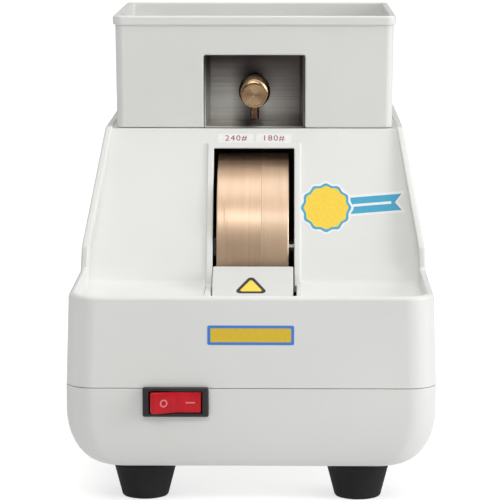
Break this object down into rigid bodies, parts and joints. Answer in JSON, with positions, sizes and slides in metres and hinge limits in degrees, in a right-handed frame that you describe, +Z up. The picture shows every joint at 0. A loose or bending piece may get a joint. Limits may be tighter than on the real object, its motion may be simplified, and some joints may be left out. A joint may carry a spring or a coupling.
{
  "type": "wet bench grinder",
  "caption": "Bench wet grinder: white plastic case with a sloped slot, two-grit diamond wheel, open drip tank with brass tap, rocker switch and rubber feet.",
  "frame": {"origin": "on the table, under the middle of the bounding box of the whole machine", "axes": "+X to the operator's right, +Y from the tray at the front to the mains inlet at the back, +Z up"},
  "size_m": [0.175, 0.2839, 0.2236],
  "materials": {
    "upper_shell": "fine satin moulded ABS",
    "base_tub": "fine satin moulded ABS",
    "water_tank": "fine satin moulded ABS",
    "wheel_guard": "fine satin moulded ABS",
    "foot_rubber": "matt",
    "fastener_steel": "zinc plated",
    "plate_steel": "brushed dark stainless",
    "brass": "turned",
    "wheel_bronze": "fine ground bronze bond",
    "hub_aluminium": "turned",
    "cast": "painted casting",
    "steel": "ground",
    "belt_rubber": "matt",
    "grey_plastic": "moulded",
    "black_plastic": "moulded",
    "red_plastic": "translucent glossy",
    "winding": "lacquered laminations and copper windings",
    "lead": "insulation"
  },
  "bodies": {
    "housing": {"foot_front_left": "foot_rubber", "foot_screw_front_left": "fastener_steel", "case_screw_front_left": "fastener_steel", "foot_front_right": "foot_rubber", "foot_screw_front_right": "fastener_steel", "case_screw_front_right": "fastener_steel", "foot_rear_left": "foot_rubber", "foot_screw_rear_left": "fastener_steel", "case_screw_rear_left": "fastener_steel", "foot_rear_right": "foot_rubber", "foot_screw_rear_right": "fastener_steel", "case_screw_rear_right": "fastener_steel", "upper_shell": "upper_shell", "base_tub": "base_tub", "bearing_left": "steel", "bearing_right": "steel", "bearing_block_left": "cast", "bearing_block_right": "cast", "wheel_sump": "grey_plastic", "drain_pipe": "grey_plastic", "chassis_plate": "steel", "motor_can": "cast", "motor_end_left": "hub_aluminium", "motor_end_right": "hub_aluminium", "motor_stator": "winding", "motor_bracket": "cast", "drive_belt": "belt_rubber", "capacitor": "grey_plastic", "capacitor_clip": "black_plastic", "switch_housing": "black_plastic", "switch_terminal_line": "brass", "switch_terminal_load": "brass", "switch_terminal_lamp": "brass", "power_inlet": "black_plastic", "inlet_pin_line": "brass", "inlet_pin_earth": "brass", "inlet_pin_neutral": "brass", "mains_lead": "lead", "motor_lead": "lead"},
    "wheel_unit": {"wheel_ring_fine": "wheel_bronze", "wheel_ring_coarse": "wheel_bronze", "wheel_hub": "hub_aluminium", "wheel_flange_left": "steel", "wheel_flange_right": "steel", "wheel_nut": "fastener_steel", "spindle": "steel", "spindle_pulley": "hub_aluminium"},
    "motor_shaft_unit": {"motor_rotor": "steel", "motor_fan": "black_plastic", "motor_pulley": "hub_aluminium"},
    "rocker": {"switch_rocker": "red_plastic"},
    "tank": {"water_tank": "water_tank", "tap_plate": "plate_steel", "tap_body": "brass", "tap_nut": "brass", "tap_gasket": "belt_rubber"},
    "tap_valve": {"tap_knob": "brass"},
    "guard": {"wheel_guard": "wheel_guard"}
  },
  "joints": [
    {"name": "wheel_spin", "type": "hinge", "parent": "housing", "child": "wheel_unit", "pos_m": [0, 0.01115, 0.1019], "axis": [1, 0, 0], "continuous": true},
    {"name": "motor_spin", "type": "hinge", "parent": "housing", "child": "motor_shaft_unit", "pos_m": [0, 0.09635, 0.066], "axis": [1, 0, 0], "continuous": true},
    {"name": "rocker_tilt", "type": "hinge", "parent": "housing", "child": "rocker", "pos_m": [-0.0352, -0.13505, 0.051], "axis": [0, 0, -1], "range_deg": [0, 20]},
    {"name": "tank_lift", "type": "slide", "parent": "housing", "child": "tank", "axis": [0, 0, 1], "range_m": [0, 0.08]},
    {"name": "tap_turn", "type": "hinge", "parent": "tank", "child": "tap_valve", "pos_m": [0, 0.00356, 0.1844], "axis": [0, -0.9744, -0.225], "range_deg": [0, 270]},
    {"name": "guard_lift", "type": "slide", "parent": "housing", "child": "guard", "axis": [0, 0, 1], "range_m": [0, 0.03]}
  ],
  "couplings": [
    {"joint": "motor_spin", "follows": "wheel_spin", "ratio": 1}
  ]
}
